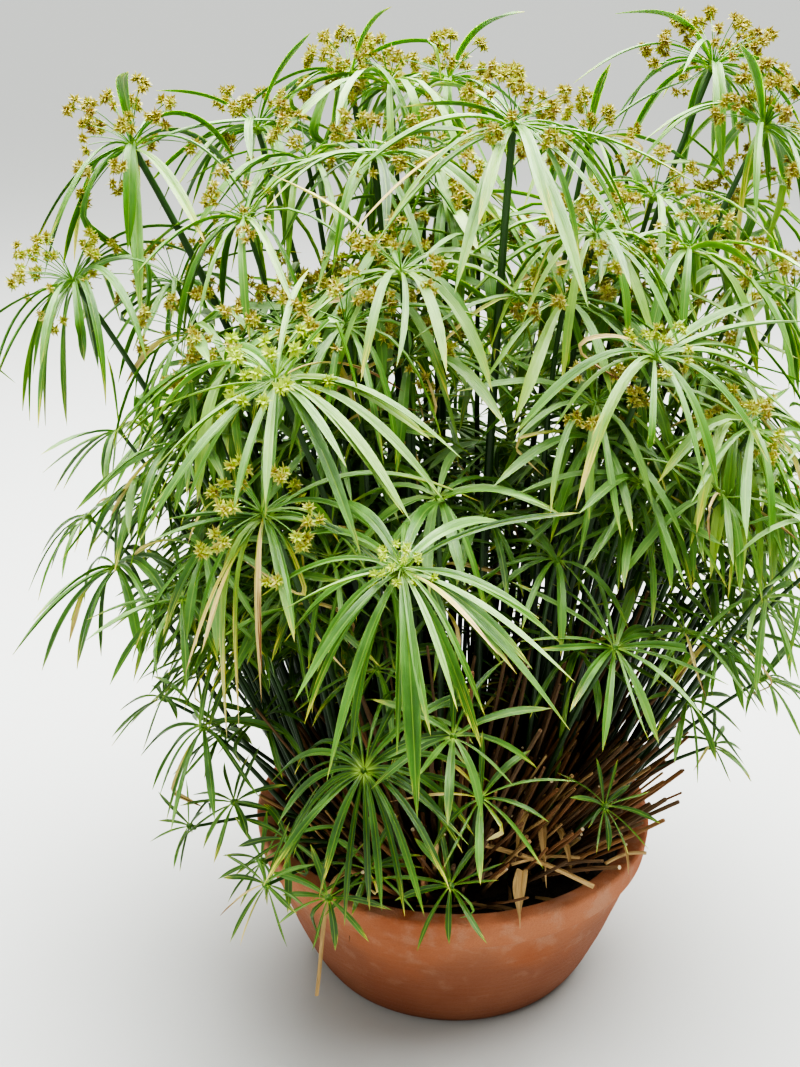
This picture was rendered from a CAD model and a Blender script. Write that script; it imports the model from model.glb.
import math

import bpy
import numpy as np
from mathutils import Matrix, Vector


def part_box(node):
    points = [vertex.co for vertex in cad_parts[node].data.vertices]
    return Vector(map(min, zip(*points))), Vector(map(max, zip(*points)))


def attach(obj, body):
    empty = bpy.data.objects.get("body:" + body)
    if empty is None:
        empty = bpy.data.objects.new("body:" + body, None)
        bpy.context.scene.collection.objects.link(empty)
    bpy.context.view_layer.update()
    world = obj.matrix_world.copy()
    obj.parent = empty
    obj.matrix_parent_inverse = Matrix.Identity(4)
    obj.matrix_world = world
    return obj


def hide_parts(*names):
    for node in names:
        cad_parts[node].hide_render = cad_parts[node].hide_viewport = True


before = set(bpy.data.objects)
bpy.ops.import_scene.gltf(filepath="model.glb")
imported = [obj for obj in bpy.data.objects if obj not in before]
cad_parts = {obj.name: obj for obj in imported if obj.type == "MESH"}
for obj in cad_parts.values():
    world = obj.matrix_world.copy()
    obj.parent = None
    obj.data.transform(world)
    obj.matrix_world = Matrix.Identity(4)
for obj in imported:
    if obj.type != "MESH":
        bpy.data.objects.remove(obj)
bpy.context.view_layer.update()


# ---- The camera --------------------------------------------------------------------
# It stands in front of the clump, a little higher than its top, and looks down on it
# at the photograph's angle, wide enough to take in the whole pot.

CAMERA_PLACE = (0.0, -1.565, 1.254)
CAMERA_DOWN = math.radians(23.0)
CAMERA_LEFT = math.radians(2.5)
CAMERA_LENS = 47.5  # mm, for a picture 36 mm high

camera = bpy.data.objects.new("camera", bpy.data.cameras.new("camera"))
camera.data.lens = CAMERA_LENS
camera.location = CAMERA_PLACE
camera.rotation_euler = (math.pi / 2 - CAMERA_DOWN, 0, CAMERA_LEFT)
bpy.context.scene.collection.objects.link(camera)
bpy.context.scene.camera = camera


# ---- The pot -----------------------------------------------------------------------
# A low round bowl of unglazed red clay, thrown on a wheel: a thick band round the rim,
# a swelling wall with faint throwing lines, and a flat foot that it stands on.

POT_HEIGHT = 0.210
RIM_RADIUS = 0.255
RIM_BAND = 0.036  # height of the band
RIM_PROUD = 0.010  # how far it stands out
BAND_SLOPE = 0.0025
FOOT_RADIUS = 0.175
WALL = 0.015
LIP = 0.0055  # radius of the rim's worn edges
BAND_EDGE = 0.004  # radius of the band's lower edge
NECK_EDGE = 0.002  # and of the corner under the band
FOOT_EDGE = 0.003
THROWING_LINE = 0.011  # from one line to the next
THROWING_DEPTH = 0.0005
OUT_OF_ROUND = 0.0006
TRUE_BELOW = 0.004  # the foot is truly round up to this height
POT_SIDES = 144
CLAY = (0.42, 0.140, 0.060, 1)
CLAY_PALE = (0.52, 0.215, 0.110, 1)
CLAY_WET = (0.20, 0.065, 0.030, 1)
LIME_BLOOM = (0.58, 0.40, 0.29, 1)


def unit(vectors):
    """Each vector over its own length."""
    return vectors / np.linalg.norm(vectors, axis=-1, keepdims=True)


def ripple(places, size, seed):
    """A smooth random height, about -1 to 1: the sum of many sine waves, each of nearly
    the given length, in a random direction and from a random start."""
    draw = np.random.default_rng(seed)
    ways = unit(draw.normal(size=(14, 3))) * draw.uniform(0.6, 1.5, (14, 1))
    starts = draw.uniform(0, 2 * math.pi, 14)
    return np.sin(places @ ways.T * (2 * math.pi / size) + starts).sum(-1) / 5


def vectors(*parts):
    """Vectors from their numbers, each spread to the shape of all."""
    return np.stack(np.broadcast_arrays(*parts), -1)


def arc(middle, radius, start, end, steps):
    """Points on a round edge, from one angle to another in degrees about its middle."""
    angle = np.radians(np.linspace(start, end, steps))
    return vectors(np.cos(angle), np.sin(angle)) * radius + middle


def turned(profile, sides):
    """Rings of a turned shape: each profile point (distance from the axis, height) is
    carried round the axis, clockwise from above, so that the faces point outwards."""
    angle = -np.linspace(0, 2 * math.pi, sides, endpoint=False)
    out, height = profile[:, :1], profile[:, 1:]
    return vectors(out * np.cos(angle), out * np.sin(angle), height)[None]


def skin(rings, near, far, grain=None, growth=(0.0, 0.0, 0.0)):
    """Skins many bodies at once. rings[body, row, side] are corners. Quads join each row
    to the next, and fans close the first row on near[body] and the last on far[body].
    The materials read grain (metres across, through and along the piece) and growth
    (share of the length, withering, shade), both given for every corner."""
    bodies, rows, sides, _ = rings.shape
    grain = rings if grain is None else grain

    def with_ends(values, first, last):
        whole = np.broadcast_to(values, rings.shape).reshape(bodies, rows * sides, 3)
        return np.concatenate([whole, first[:, None], last[:, None]], 1)

    def with_mean_ends(values):
        values = np.broadcast_to(values, rings.shape)
        return with_ends(values, values[:, 0].mean(1), values[:, -1].mean(1))

    side = np.arange(sides)
    after = np.roll(side, -1)
    row = np.arange(rows - 1)[:, None] * sides
    quads = np.stack([row + side, row + after, row + sides + after, row + sides + side], -1)
    top = (rows - 1) * sides
    pole = np.full(sides, rows * sides)
    near_fan = np.stack([after, side, pole], -1)
    far_fan = np.stack([top + side, top + after, pole + 1], -1)
    fans = np.concatenate([near_fan, far_fan])
    body = np.arange(bodies)[:, None, None] * (rows * sides + 2)
    return {
        "corners": with_ends(rings, near, far).reshape(-1, 3),
        "grain": with_mean_ends(grain).reshape(-1, 3),
        "growth": with_mean_ends(growth).reshape(-1, 3),
        "quads": (quads.reshape(-1, 4) + body).reshape(-1, 4),
        "fans": (fans + body).reshape(-1, 3),
    }


def joined(skins):
    """Several skins as one."""
    first = np.cumsum([0] + [len(s["corners"]) for s in skins])
    whole = {key: np.concatenate([s[key] for s in skins]) for key in ("corners", "grain", "growth")}
    for key in ("quads", "fans"):
        whole[key] = np.concatenate([s[key] + f for s, f in zip(skins, first)])
    return whole


def piece(name, slot, *parts):
    """One object at the origin from several skins, each given with its material."""
    whole = joined([part[0] for part in parts])
    quads, fans = whole["quads"], whole["fans"]
    finish = [
        np.full(len(part[0][kind]), count)
        for kind in ("quads", "fans")
        for count, part in enumerate(parts)
    ]

    mesh = bpy.data.meshes.new(name)
    mesh.vertices.add(len(whole["corners"]))
    mesh.vertices.foreach_set("co", whole["corners"].astype(np.float32).ravel())
    mesh.loops.add(quads.size + fans.size)
    loops = np.concatenate([quads.ravel(), fans.ravel()]).astype(np.int32)
    mesh.loops.foreach_set("vertex_index", loops)
    mesh.polygons.add(len(quads) + len(fans))
    starts = [np.arange(len(quads)) * 4, quads.size + np.arange(len(fans)) * 3]
    mesh.polygons.foreach_set("loop_start", np.concatenate(starts).astype(np.int32))
    mesh.polygons.foreach_set("material_index", np.concatenate(finish).astype(np.int32))
    mesh.polygons.foreach_set("use_smooth", np.ones(len(quads) + len(fans), bool))
    for mark in ("grain", "growth"):
        values = whole[mark].astype(np.float32)
        mesh.attributes.new(mark, "FLOAT_VECTOR", "POINT").data.foreach_set("vector", values.ravel())
    mesh.update(calc_edges=True)
    mesh.set_sharp_from_angle(angle=math.radians(48))
    for _, material in parts:
        mesh.materials.append(material)

    made = bpy.data.objects.new(name, mesh)
    bpy.context.scene.collection.objects.link(made)
    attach(made, "root")
    return made


def node(tree, kind, sockets=None, **settings):
    """One shader node. sockets gives each named input a value or the output it reads."""
    made = tree.nodes.new("ShaderNode" + kind)
    for name, value in settings.items():
        setattr(made, name, value)
    for name, value in (sockets or {}).items():
        if isinstance(value, bpy.types.NodeSocket):
            tree.links.new(value, made.inputs[name])
        else:
            made.inputs[name].default_value = value
    return made


def sums(operation, *values):
    """The output of a Math node in the tree of the outputs that it reads. MULTIPLY_ADD is
    the first value times the second, plus the third."""
    tree = next(value.id_data for value in values if isinstance(value, bpy.types.NodeSocket))
    return node(tree, "Math", dict(enumerate(values)), operation=operation).outputs[0]


def step_between(value, zero_at, one_at):
    """0 at one value and beyond it, 1 at the other and beyond it, and smooth between them.
    It falls where the second value is the lower one."""
    sockets = {"Value": value, "From Min": zero_at, "From Max": one_at}
    return node(value.id_data, "MapRange", sockets, interpolation_type="SMOOTHSTEP").outputs["Result"]


def blend(share, first, second, most=1.0):
    """A colour between two: the second's part is most where share is 1. The Mix node's
    colours are its inputs 6 and 7 and its output 2."""
    if most != 1.0:
        share = sums("MULTIPLY", share, most)
    return node(share.id_data, "Mix", {0: share, 6: first, 7: second}, data_type="RGBA").outputs[2]


def group(name, inputs, outputs):
    """An empty shader node group with named sockets, and its two end nodes."""
    tree = bpy.data.node_groups.new(name, "ShaderNodeTree")
    for side, sockets in (("INPUT", inputs), ("OUTPUT", outputs)):
        for socket, kind in sockets.items():
            tree.interface.new_socket(socket, in_out=side, socket_type="NodeSocket" + kind)
    return tree, tree.nodes.new("NodeGroupInput").outputs, tree.nodes.new("NodeGroupOutput").inputs


def patches_group():
    """Cloudy patches and fine grit at two sizes, both from 0 to 1."""
    inputs = {"Place": "Vector", "Patch size": "Float", "Grit size": "Float"}
    tree, given, result = group("patches", inputs, {"Patch": "Float", "Grit": "Float"})
    for size, output, detail in (("Patch size", "Patch", 4.0), ("Grit size", "Grit", 2.0)):
        scale = sums("DIVIDE", 1.0, given[size])
        sockets = {"Vector": given["Place"], "Scale": scale, "Detail": detail}
        noise = node(tree, "TexNoise", sockets).outputs["Fac"]
        tree.links.new(step_between(noise, 0.3, 0.7), result[output])
    return tree


PATCHES = patches_group()


def patches(place, patch_size, grit_size):
    """Places the patches group and gives its two outputs."""
    sockets = {"Place": place, "Patch size": patch_size, "Grit size": grit_size}
    made = node(place.id_data, "Group", sockets, node_tree=PATCHES)
    return made.outputs["Patch"], made.outputs["Grit"]


def new_material(name):
    """A material with its node tree and its Principled BSDF."""
    made = bpy.data.materials.new(name)
    made.use_nodes = True
    return made, made.node_tree, made.node_tree.nodes["Principled BSDF"]


def feed(shader, colour, roughness, height, depth):
    """Joins colour, roughness and a bump of the given depth in metres to the shader."""
    tree = shader.id_data
    bump = node(tree, "Bump", {"Height": height, "Distance": depth, "Strength": 1.0})
    tree.links.new(colour, shader.inputs["Base Color"])
    tree.links.new(roughness, shader.inputs["Roughness"])
    tree.links.new(bump.outputs["Normal"], shader.inputs["Normal"])


def clay_material():
    """Red clay, cloudy from the kiln, darker where wet soil stands behind it, with a
    white bloom of lime under the rim and on it."""
    made, tree, shader = new_material("terracotta")
    place = node(tree, "TexCoord").outputs["Object"]
    cloud, grit = patches(place, 0.10, 0.0035)
    blotch, speck = patches(place, 0.028, 0.0012)
    height = node(tree, "SeparateXYZ", {0: place}).outputs["Z"]
    above_damp = sums("SUBTRACT", height, sums("MULTIPLY_ADD", cloud, 0.06, 0.11))
    damp = step_between(above_damp, 0.03, -0.05)
    bloom = step_between(sums("MULTIPLY_ADD", height, 3.0, blotch), 0.95, 1.7)
    colour = blend(cloud, CLAY, CLAY_PALE)
    colour = blend(damp, colour, CLAY_WET, 0.62)
    colour = blend(bloom, colour, LIME_BLOOM, 0.3)
    colour = blend(speck, colour, CLAY_WET, 0.22)
    roughness = sums("MULTIPLY_ADD", damp, -0.22, 0.92)
    feed(shader, colour, roughness, sums("ADD", grit, speck), 0.0004)
    return made


def pot_profile():
    """From the middle of the inner floor, up the inner wall, over the rounded rim, down
    the band and the swelling wall, and round the foot's edge to its middle."""
    neck = RIM_RADIUS - RIM_PROUD
    inner_top = neck - WALL
    low_edge = RIM_RADIUS - BAND_SLOPE
    lip_height = POT_HEIGHT - LIP
    wall_top = POT_HEIGHT - RIM_BAND
    share = np.linspace(0.97, 0.03, 34)
    belly = vectors(FOOT_RADIUS + (neck - FOOT_RADIUS) * share**0.75, wall_top * share)
    belly[:, 0] += THROWING_DEPTH * np.sin(2 * math.pi * belly[:, 1] / THROWING_LINE)
    inside = np.linspace((FOOT_RADIUS - WALL, WALL), (inner_top, lip_height), 12)
    band = np.linspace((RIM_RADIUS, lip_height), (low_edge, wall_top + BAND_EDGE), 7)
    return np.concatenate(
        [
            [(0.05, WALL), (0.11, WALL)],
            inside[:-1],
            arc((inner_top + LIP, lip_height), LIP, 180, 90, 7),
            arc((RIM_RADIUS - LIP, lip_height), LIP, 90, 0, 7),
            band[1:-1],
            arc((low_edge - BAND_EDGE, wall_top + BAND_EDGE), BAND_EDGE, 0, -90, 5),
            arc((neck + NECK_EDGE, wall_top - NECK_EDGE), NECK_EDGE, 90, 180, 4),
            belly,
            arc((FOOT_RADIUS - FOOT_EDGE, FOOT_EDGE), FOOT_EDGE, 10, -90, 5),
            [(0.12, 0.0), (0.05, 0.0)],
        ]
    )


pot_rings = turned(pot_profile(), POT_SIDES)
pot_uneven = (pot_rings[..., 2:] > TRUE_BELOW) * OUT_OF_ROUND / RIM_RADIUS
pot_rings[..., :2] *= 1 + pot_uneven * ripple(pot_rings, 0.16, 3)[..., None]
pot_poles = np.array([[(0.0, 0.0, WALL)], [(0.0, 0.0, 0.0)]])
pot = piece("clay_pot", "terracotta", (skin(pot_rings, *pot_poles), clay_material()))
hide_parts("pot")


# ---- The soil ----------------------------------------------------------------------
# Wet, dark pond compost that fills the bowl to about three centimetres below its rim. Its
# top is uneven, with crumbs and grit on it.

SOIL_LEVEL = 0.182
SOIL_SWELL = 0.004
SOIL_SHY = 0.0008  # how far it stays inside the solid's side
SOIL_STEPS = 44  # from its middle to its edge
CRUMBS = 900
CRUMB_SIZE = (0.0015, 0.0055)
CRUMBS_FROM = 0.13  # metres from the axis, just under the crown's edge
SOIL_DARK = (0.026, 0.018, 0.012, 1)
SOIL_LIGHT = (0.090, 0.062, 0.042, 1)


def soil_material():
    """Nearly black compost with browner crumbs; its hollows shine because they are wet."""
    made, tree, shader = new_material("wet_soil")
    patch, grit = patches(node(tree, "TexCoord").outputs["Object"], 0.03, 0.003)
    colour = blend(sums("MULTIPLY", patch, grit), SOIL_DARK, SOIL_LIGHT)
    feed(shader, colour, sums("MULTIPLY_ADD", grit, 0.45, 0.45), grit, 0.0015)
    return made


def lumps(places, sizes, seed):
    """Rough lumps: two rings of five corners and two poles round each place, all pushed
    in or out at random, and flatter than they are wide."""
    draw = np.random.default_rng(seed)
    many = len(places)
    angle = np.arange(5) * 2 * math.pi / 5 + draw.uniform(0, 6, (many, 1))
    angle = np.stack([angle, angle + math.pi / 5], 1)
    level = np.broadcast_to(np.array([-0.35, 0.35])[:, None], angle.shape)
    rings = np.stack([np.cos(angle) * 0.8, np.sin(angle) * 0.8, level], -1)
    rings = rings * draw.uniform(0.75, 1.25, rings.shape[:3] + (1,))
    stretch = sizes[:, None] * draw.uniform(0.6, 1.2, (many, 3)) * (1, 1, 0.75)
    rings = rings * stretch[:, None, None] + places[:, None, None]
    pole = stretch * (0, 0, 0.85)
    shade = np.broadcast_to(draw.random(many)[:, None, None, None], rings.shape)
    return skin(rings, places - pole, places + pole, growth=shade)


def level_places(out, angle):
    """Level places at a distance from the object's axis, at an angle in radians."""
    return vectors(out * np.cos(angle), out * np.sin(angle), 0.0)


def soil_top(places):
    """The height of the soil's uneven top."""
    flat = places * (1, 1, 0)
    rise = ripple(flat, 0.11, 5) * 0.5 + ripple(flat, 0.03, 6) * 0.2 - 0.5
    return SOIL_LEVEL + SOIL_SWELL * rise


soil_low, soil_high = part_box("soil")
soil_edge = soil_high.x - SOIL_SHY
soil_floor = soil_low.z + 0.001
soil_profile = np.concatenate(
    [
        vectors(np.linspace(0.02, soil_edge, SOIL_STEPS), SOIL_LEVEL),
        [(soil_edge - 0.006, 0.14), (FOOT_RADIUS - WALL - 0.002, soil_floor), (0.08, soil_floor)],
    ]
)
soil_rings = turned(soil_profile, POT_SIDES)
soil_rings[0, :SOIL_STEPS, :, 2] = soil_top(soil_rings[0, :SOIL_STEPS])
soil_skin = skin(soil_rings, np.array([(0, 0, SOIL_LEVEL)]), np.array([(0, 0, soil_floor)]))
crumb_draw = np.random.default_rng(12)
crumb_angle = crumb_draw.uniform(0, 2 * math.pi, CRUMBS)
crumb_out = np.sqrt(crumb_draw.uniform(CRUMBS_FROM**2, (soil_edge - 0.006) ** 2, CRUMBS))
crumb_places = level_places(crumb_out, crumb_angle)
crumb_places[:, 2] = soil_top(crumb_places) + 0.0006
crumb_sizes = crumb_draw.uniform(0, 1, CRUMBS) ** 3 * np.ptp(CRUMB_SIZE) + CRUMB_SIZE[0]
crumbs = lumps(crumb_places, crumb_sizes, 13)
compost = soil_material()
soil = piece("wet_soil", "wet_soil", (soil_skin, compost), (crumbs, compost))
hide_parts("soil")


# ---- The crown ---------------------------------------------------------------------
# The old rhizomes, grown together into a low knobbly dome on the soil, with the fan of
# dead stalks that were cut or broken off over the years. They point away from a place
# under the dome and are longest at the front right. Their cut ends show pale pith.

CROWN_RADIUS = 0.170
CROWN_RISE = 0.046
CROWN_SUNK = 0.004  # how far its edge lies below the soil's level
CROWN_STEPS = 40  # from its middle to its edge
KNOBS = 150
STALKS = 640
STALK_RADIUS = (0.0014, 0.0030)
STALK_LENGTH = (0.060, 0.165)
STALK_SPREAD = 0.85  # how far the stalks lean, as a share of the dome's own slope
CUT_CLEAN = 0.16  # share of the stalks that show pale pith
FAN_STALKS = 640  # of these, those at the front right are made
BROKEN = 140
BROKEN_LENGTH = (0.14, 0.36)
BROKEN_SPREAD = 0.65
FAN_DEPTH = 0.15  # how far below the soil's level the place lies that all point away from
LONGEST_TO = np.array((0.75, -0.65, 0.0))
GOLDEN_ANGLE = 137.508  # degrees from one place to the next, as with a sunflower's seeds
STALK_RED = (0.28, 0.120, 0.038, 1)
STALK_BROWN = (0.150, 0.082, 0.034, 1)
STALK_STRAW = (0.72, 0.49, 0.21, 1)
PITH = (0.62, 0.50, 0.31, 1)


def streaks_group():
    """Fine streaks along a leaf or a stalk, from 0 to 1: noise drawn out along it."""
    inputs = {"Grain": "Vector", "Width": "Float", "Length": "Float"}
    tree, given, result = group("streaks", inputs, {"Streak": "Float"})
    wide = sums("DIVIDE", 1.0, given["Width"])
    long = sums("DIVIDE", 1.0, given["Length"])
    scale = node(tree, "CombineXYZ", {0: wide, 1: wide, 2: long}).outputs[0]
    vector = node(tree, "VectorMath", {0: given["Grain"], 1: scale}, operation="MULTIPLY").outputs[0]
    noise = node(tree, "TexNoise", {"Vector": vector, "Scale": 1.0, "Detail": 2.0}).outputs["Fac"]
    tree.links.new(step_between(noise, 0.3, 0.7), result["Streak"])
    return tree


STREAKS = streaks_group()


def streaks(grain, width, length):
    """Places the streaks group and gives its output."""
    sockets = {"Grain": grain, "Width": width, "Length": length}
    return node(grain.id_data, "Group", sockets, node_tree=STREAKS).outputs["Streak"]


def marks(tree):
    """The grain vector, and the share of the length, the withering and the shade."""
    grain = node(tree, "Attribute", attribute_name="grain").outputs["Vector"]
    growth = node(tree, "Attribute", attribute_name="growth").outputs["Vector"]
    return grain, *node(tree, "SeparateXYZ", {0: growth}).outputs


def dead_material():
    """Dead stalks: red-brown, grey-brown or straw by their shade, black and wet at the
    foot, streaked along their fibres, with pale pith where they are cut."""
    made, tree, shader = new_material("dead_stalk")
    grain, along, _, shade = marks(tree)
    streak = streaks(grain, 0.0012, 0.03)
    wet = step_between(along, 0.45, 0.0)
    colour = blend(step_between(shade, 0.2, 0.5), STALK_BROWN, STALK_RED)
    colour = blend(step_between(shade, 0.62, 1.0), colour, STALK_STRAW)
    colour = blend(streak, colour, SOIL_DARK, 0.42)
    colour = blend(wet, colour, SOIL_DARK, 0.7)
    colour = blend(step_between(along, 1.2, 1.6), colour, PITH)
    feed(shader, colour, sums("MULTIPLY_ADD", wet, -0.25, 0.85), streak, 0.0008)
    return made


def crown_top(places):
    """The height of the dome over a place: half a flattened ball with smooth lumps."""
    out = np.linalg.norm(places[..., :2], axis=-1) / CROWN_RADIUS
    dome = np.sqrt(np.clip(1 - out**2, 0, 1)) * CROWN_RISE
    flat = places * (1, 1, 0)
    lump = 0.004 * ripple(flat, 0.045, 21) + 0.0015 * ripple(flat, 0.014, 22)
    return SOIL_LEVEL - CROWN_SUNK + dome + lump * np.clip(4 - 4 * out, 0, 1)


def on_crown(count, seed, reach):
    """Places spread over the dome at golden angles, a little disturbed."""
    draw = np.random.default_rng(seed)
    out = CROWN_RADIUS * reach * np.sqrt((np.arange(count) + 0.5) / count)
    angle = np.arange(count) * math.radians(GOLDEN_ANGLE) + draw.uniform(0, 6)
    places = level_places(out, angle)
    places[:, :2] += draw.normal(0, 0.003, (count, 2))
    places[:, 2] = crown_top(places)
    return places


def cubic(controls, rows):
    """Points at equal steps of a cubic curve through its first and last control points."""
    t = np.linspace(0, 1, rows)[:, None]
    weights = np.hstack([(1 - t) ** 3, 3 * t * (1 - t) ** 2, 3 * t**2 * (1 - t), t**3])
    return np.einsum("rk,nkx->nrx", weights, controls)


def square_to(way, vector):
    """The part of a vector that is square to a direction, made one long."""
    return unit(vector - way * (vector * way).sum(-1, keepdims=True))


def rings_on(line, across, rise, x, y):
    """Rings whose corners lie x metres across and y metres up from the points of a line."""
    return line[..., None, :] + across[..., None, :] * x[..., None] + rise[..., None, :] * y[..., None]


def tubes(line, radius, sides, shade=0.5, ribs=0.0, cut=0.0):
    """Round bodies along many lines. A ring stands square to the line at each point, and
    three ribs may run along it. A cut end has a share of the length above 1."""
    many, rows, _ = line.shape
    along = unit(np.gradient(line, axis=1))
    chord = line[:, -1] - line[:, 0]
    across = square_to(along, np.eye(3)[np.abs(chord).argmin(1)][:, None])
    angle = np.arange(sides) * 2 * math.pi / sides
    radius = np.broadcast_to(radius, (many, rows))[..., None] * (1 + ribs * np.cos(3 * angle))
    x, y = radius * np.cos(angle), radius * np.sin(angle)
    rings = rings_on(line, across, np.cross(along, across), x, y)
    walked = np.linalg.norm(np.diff(line, axis=1, prepend=line[:, :1]), axis=-1).cumsum(1)
    grain = vectors(x, y, walked[..., None]) + line[:, :1, None]
    share = walked / walked[:, -1:]
    share[:, -1] += cut
    growth = vectors(share, 0.0, np.reshape(shade, (-1, 1)))[:, :, None]
    return skin(rings, line[:, 0], line[:, -1], grain, growth)


def stalk_lines(start, spread, length, seed):
    """The dead stalks' lines: away from a place under the dome, steeper by the spread and
    a little askew, nearly straight, and longer towards the front right."""
    count = len(start)
    draw = np.random.default_rng(seed)
    heading = unit(start - (0, 0, SOIL_LEVEL - FAN_DEPTH))
    heading = unit(heading * (spread, spread, 1) + draw.normal(0, 0.09, (count, 3)))
    length = draw.uniform(*length, count)
    length = (length * (1 + 0.55 * heading @ LONGEST_TO))[:, None]
    side = draw.normal(0, 0.05, (count, 3))
    last = start + heading * length
    bend = ((heading + side) * length / 3, (heading - side) * length / 3)
    line = cubic(np.stack([start - heading * 0.006, start + bend[0], last - bend[1], last], 1), 5)
    line = np.concatenate([line, line[:, -1:] + heading[:, None] * 0.0004], 1)
    radius = draw.uniform(*STALK_RADIUS, (count, 1)) * np.array((1.5, 1.12, 1, 0.97, 0.92, 0.88))
    return line, radius, draw.random(count), (draw.random(count) < CUT_CLEAN).astype(float)


crown_out = np.linspace(0.04, 0.999, CROWN_STEPS) ** 0.8 * CROWN_RADIUS
crown_profile = vectors(crown_out, SOIL_LEVEL)
crown_profile = np.concatenate([crown_profile, [(CROWN_RADIUS * 0.9, SOIL_LEVEL - 0.012)]])
crown_rings = turned(crown_profile, 120)
crown_rings[0, :CROWN_STEPS, :, 2] = crown_top(crown_rings[0, :CROWN_STEPS])
crown_poles = np.array([[(0, 0, SOIL_LEVEL + CROWN_RISE - CROWN_SUNK)], [(0, 0, SOIL_LEVEL - 0.012)]])
dead = dead_material()
knob_places = on_crown(KNOBS, 31, 0.97)
knob_sizes = np.random.default_rng(32).uniform(0.006, 0.013, KNOBS)
crown = piece(
    "rhizome_crown",
    "dead_stalk",
    (skin(crown_rings, *crown_poles, growth=(0.1, 0.5, 0.2)), dead),
    (lumps(knob_places, knob_sizes, 33), dead),
)
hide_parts("root_crown")
fan_places = on_crown(FAN_STALKS, 43, 1.0)
fan_places = fan_places[unit(fan_places * (1, 1, 0)) @ unit(LONGEST_TO) > 0.35]
for name, start, spread, length, palest in (
    ("dead_stalks", on_crown(STALKS, 41, 1.0), STALK_SPREAD, STALK_LENGTH, 1.0),
    ("fan_stalks", fan_places, STALK_SPREAD, STALK_LENGTH, 0.9),
    ("broken_culms", on_crown(BROKEN, 42, 0.85), BROKEN_SPREAD, BROKEN_LENGTH, 0.45),
):
    line, radius, shade, cut = stalk_lines(start, spread, length, len(start))
    piece(name, "dead_stalk", (tubes(line, radius, 6, shade=shade * palest, cut=cut), dead))


# ---- The culms ---------------------------------------------------------------------
# Living stems, smooth and dark green, each with soft ribs and a brown papery sheath
# round its foot. They rise from the crown and lean outwards; the solids give the line.

CULM_RADIUS = 0.0030
CULM_RADIUS_PER_HEIGHT = 0.0016
CULM_THINNEST = 0.64  # the top's thickness as a share of the foot's
STOUT = 1.15  # how much thicker the main shoots' culms are than those between
STOUTEST = 1.4  # and those of the first three shoots
CULM_ROWS = 18
SHEATH_SWELL = np.array((1.5, 1.42, 1.36, 1.3, 1.27, 1.25, 1.23, 1.2, 1.05))
CULM_DARK = (0.011, 0.036, 0.006, 1)
CULM_LIGHT = (0.036, 0.110, 0.012, 1)
SHEATH_BROWN = (0.16, 0.075, 0.035, 1)
SHOOTS = 28


def culm_material():
    """Glossy dark green, lighter under the leaves, red-brown where the sheath grips it."""
    made, tree, shader = new_material("culm")
    grain, along, _, shade = marks(tree)
    streak = streaks(grain, 0.0009, 0.06)
    light = sums("MULTIPLY_ADD", shade, 0.5, step_between(along, 0.55, 1.0))
    colour = blend(light, CULM_DARK, CULM_LIGHT, 0.6)
    colour = blend(streak, colour, CULM_DARK, 0.3)
    colour = blend(step_between(along, 0.16, 0.02), colour, SHEATH_BROWN, 0.85)
    feed(shader, colour, sums("MULTIPLY_ADD", streak, 0.15, 0.34), streak, 0.0002)
    return made


def husk_material():
    """Thin dry sheath, red-brown to straw, with dark fibres."""
    made, tree, shader = new_material("dry_husk")
    grain, _, _, shade = marks(tree)
    streak = streaks(grain, 0.0011, 0.05)
    colour = blend(shade, SHEATH_BROWN, STALK_STRAW)
    colour = blend(streak, colour, STALK_BROWN, 0.5)
    feed(shader, colour, sums("MULTIPLY_ADD", streak, 0.2, 0.6), streak, 0.0005)
    return made


def solid_corners(name):
    """The corners of a solid, each once."""
    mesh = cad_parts[name].data
    corners = np.empty(len(mesh.vertices) * 3, np.float32)
    mesh.vertices.foreach_get("co", corners)
    return np.unique(corners.reshape(-1, 3).round(6), axis=0).astype(float)


def curve_through(middles):
    """The four control points of the cubic that the middles of a solid's rings follow at
    equal steps. Least squares gives the two inner ones."""
    t = np.linspace(0, 1, len(middles))[:, None]
    ends = (1 - t) ** 3 * middles[0] + t**3 * middles[-1]
    inner = np.hstack([3 * t * (1 - t) ** 2, 3 * t**2 * (1 - t)])
    handles = np.linalg.lstsq(inner, middles - ends, rcond=None)[0]
    return np.array([middles[0], *handles, middles[-1]])


def stem_curve(name):
    """The cubic of a stem solid, whose rings have six corners each and rise in order."""
    corners = solid_corners(name)
    return curve_through(corners[corners[:, 2].argsort()].reshape(-1, 6, 3).mean(1))


def culms(curves, shades, rows=CULM_ROWS, sides=9, stout=1.0):
    """Stems round their curves, thicker the taller they are and thinner towards the top,
    and the sheath round the lowest part of each."""
    height = curves[:, 3, 2:] - SOIL_LEVEL
    radius = stout * (CULM_RADIUS + CULM_RADIUS_PER_HEIGHT * height)
    thinner = np.linspace(1.0, CULM_THINNEST, rows)
    stems = tubes(cubic(curves, rows), radius * thinner, sides, shades, ribs=0.035)
    foot = cubic(curves, 60)[:, : len(SHEATH_SWELL)]
    return stems, tubes(foot, radius * SHEATH_SWELL, sides, 0.2 + 0.7 * shades)


culm_green = culm_material()
husk_brown = husk_material()
shoot_names = [f"{count:02d}" for count in range(1, SHOOTS + 1)]
shoot_curves = np.array([stem_curve("stem_" + name) for name in shoot_names])
shoot_shades = np.random.default_rng(51).random(SHOOTS)
for count, name in enumerate(shoot_names):
    only = slice(count, count + 1)
    stout = STOUTEST if count < 3 else STOUT
    stems, sheaths = culms(shoot_curves[only], shoot_shades[only], stout=stout)
    culm = piece("culm_" + name, "stem", (stems, culm_green), (sheaths, husk_brown))
    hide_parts("stem_" + name)


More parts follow.
